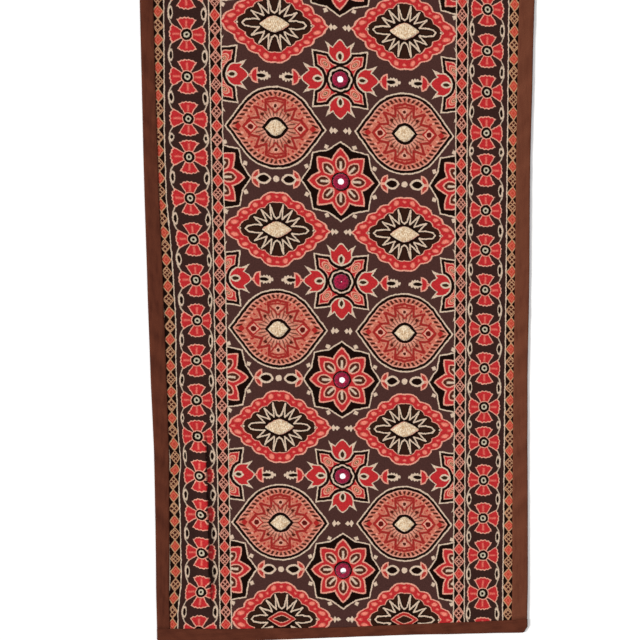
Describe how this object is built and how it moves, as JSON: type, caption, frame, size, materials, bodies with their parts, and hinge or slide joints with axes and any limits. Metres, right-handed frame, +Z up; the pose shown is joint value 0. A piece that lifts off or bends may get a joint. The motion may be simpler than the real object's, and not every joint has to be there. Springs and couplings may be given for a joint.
{
  "type": "ajrakh table runner",
  "caption": "Long flat block-printed cotton table runner with plain bound edges and small round mirrors sewn down its middle.",
  "frame": {"origin": "middle of the underside, on the table that the runner lies on", "axes": "+X across the width, +Y along the length towards the far hem, +Z up"},
  "size_m": [0.358, 1.524, 0.0042],
  "materials": {
    "printed_cotton": "matte woven cotton, block printed in black, red, cream and plum brown",
    "brown_cotton": "matte woven cotton, plain brown",
    "silvered_glass": "polished silvered glass",
    "magenta_thread": "twisted embroidery thread with a soft sheen"
  },
  "bodies": {
    "root": {"printed_panel": "printed_cotton", "side_strip_left": "brown_cotton", "side_strip_right": "brown_cotton", "end_strip_near": "brown_cotton", "end_strip_far": "brown_cotton", "mirror_01": "silvered_glass", "mirror_02": "silvered_glass", "mirror_03": "silvered_glass", "mirror_04": "silvered_glass", "mirror_05": "silvered_glass", "mirror_06": "silvered_glass", "mirror_07": "silvered_glass", "mirror_08": "silvered_glass", "mirror_09": "silvered_glass", "mirror_10": "silvered_glass", "mirror_11": "silvered_glass", "mirror_12": "silvered_glass", "mirror_13": "silvered_glass", "mirror_14": "silvered_glass", "mirror_15": "silvered_glass", "mirror_16": "silvered_glass", "mirror_collar_01": "magenta_thread", "mirror_collar_02": "magenta_thread", "mirror_collar_03": "magenta_thread", "mirror_collar_04": "magenta_thread", "mirror_collar_05": "magenta_thread", "mirror_collar_06": "magenta_thread", "mirror_collar_07": "magenta_thread", "mirror_collar_08": "magenta_thread", "mirror_collar_09": "magenta_thread", "mirror_collar_10": "magenta_thread", "mirror_collar_11": "magenta_thread", "mirror_collar_12": "magenta_thread", "mirror_collar_13": "magenta_thread", "mirror_collar_14": "magenta_thread", "mirror_collar_15": "magenta_thread", "mirror_collar_16": "magenta_thread"}
  },
  "joints": []
}
